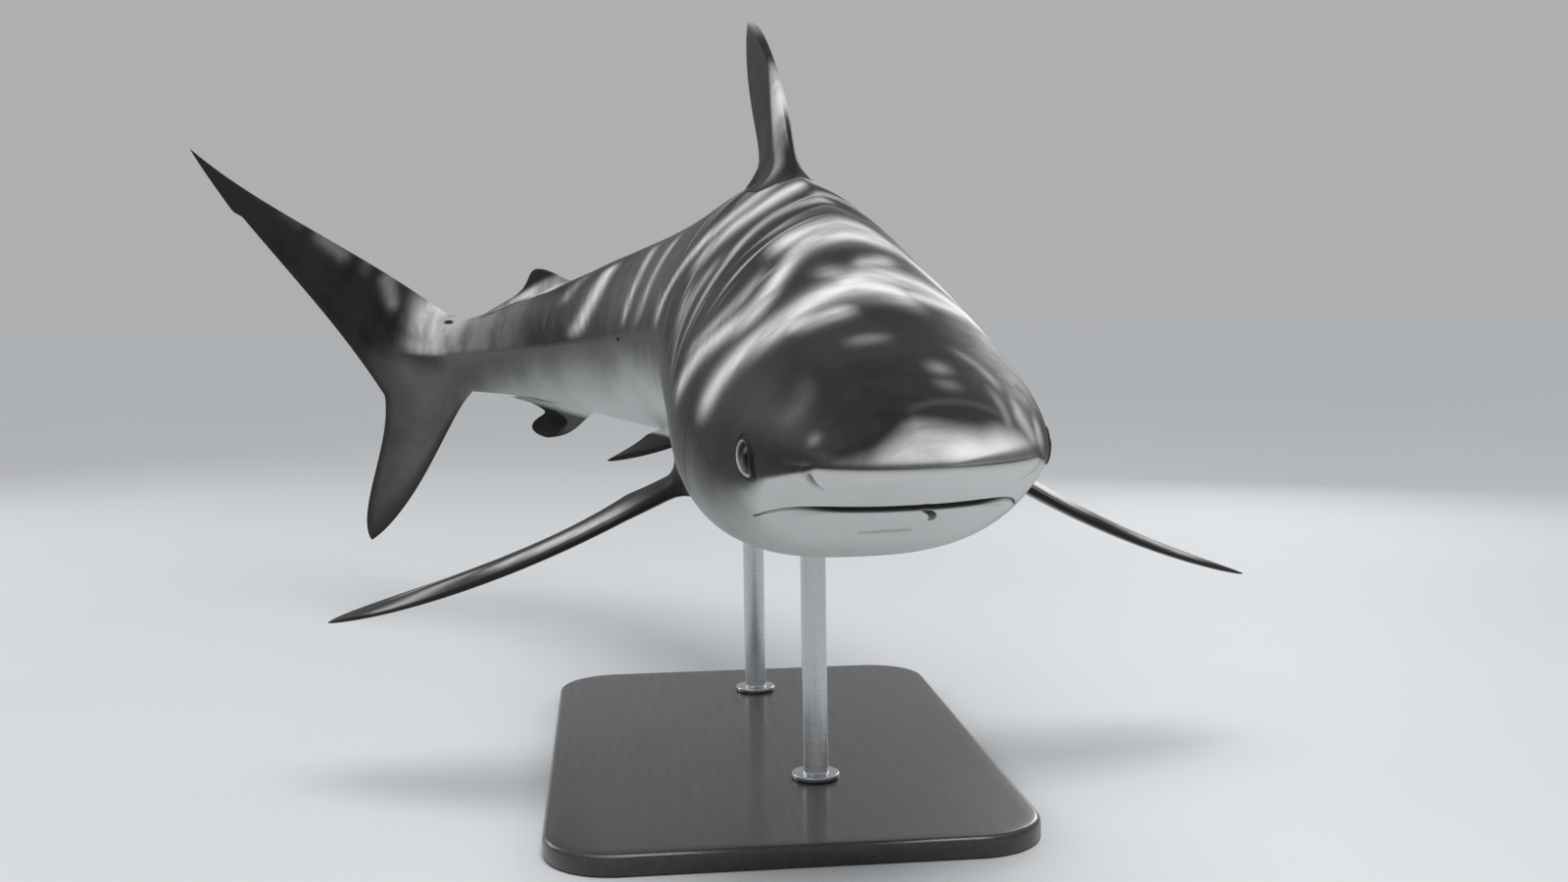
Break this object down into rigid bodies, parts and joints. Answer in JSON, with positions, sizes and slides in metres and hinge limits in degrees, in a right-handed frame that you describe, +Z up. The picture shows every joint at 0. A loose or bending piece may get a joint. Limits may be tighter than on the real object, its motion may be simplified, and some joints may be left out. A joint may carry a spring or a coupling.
{
  "type": "silky shark",
  "caption": "Life-size silky shark swimming toward the viewer with its tail swept to its right, long narrow fins spread, held over a flat base by slim rods.",
  "frame": {"origin": "centre of the stand base's underside", "axes": "+Z up; the head points along -Y; the shark's right side is toward -X, where the tail sweeps"},
  "size_m": [1.1619, 1.5074, 0.7192],
  "materials": {
    "skin": "dark grey-brown above, white below, satin wet skin with a fine grain",
    "pale_skin": "white, satin wet skin",
    "fin_skin": "dark grey-brown, darker toward tips and edges, satin",
    "eye": "glossy, dark upright pupil in a grey-green iris",
    "stand_base": "satin black lacquer",
    "stand_rod": "finely brushed"
  },
  "bodies": {
    "root": {"head": "skin", "gill_region": "skin", "trunk_front": "skin", "trunk_middle": "skin", "trunk_rear": "skin", "tail_stem": "skin", "lower_jaw": "pale_skin", "tail_fin": "fin_skin", "dorsal_fin_first": "fin_skin", "dorsal_fin_second": "fin_skin", "anal_fin": "fin_skin", "pectoral_fin_right": "fin_skin", "pectoral_fin_left": "fin_skin", "pelvic_fin_right": "fin_skin", "pelvic_fin_left": "fin_skin", "eye_right": "eye", "eye_left": "eye", "stand_base": "stand_base", "stand_rod_front": "stand_rod", "stand_rod_rear": "stand_rod"}
  },
  "joints": []
}
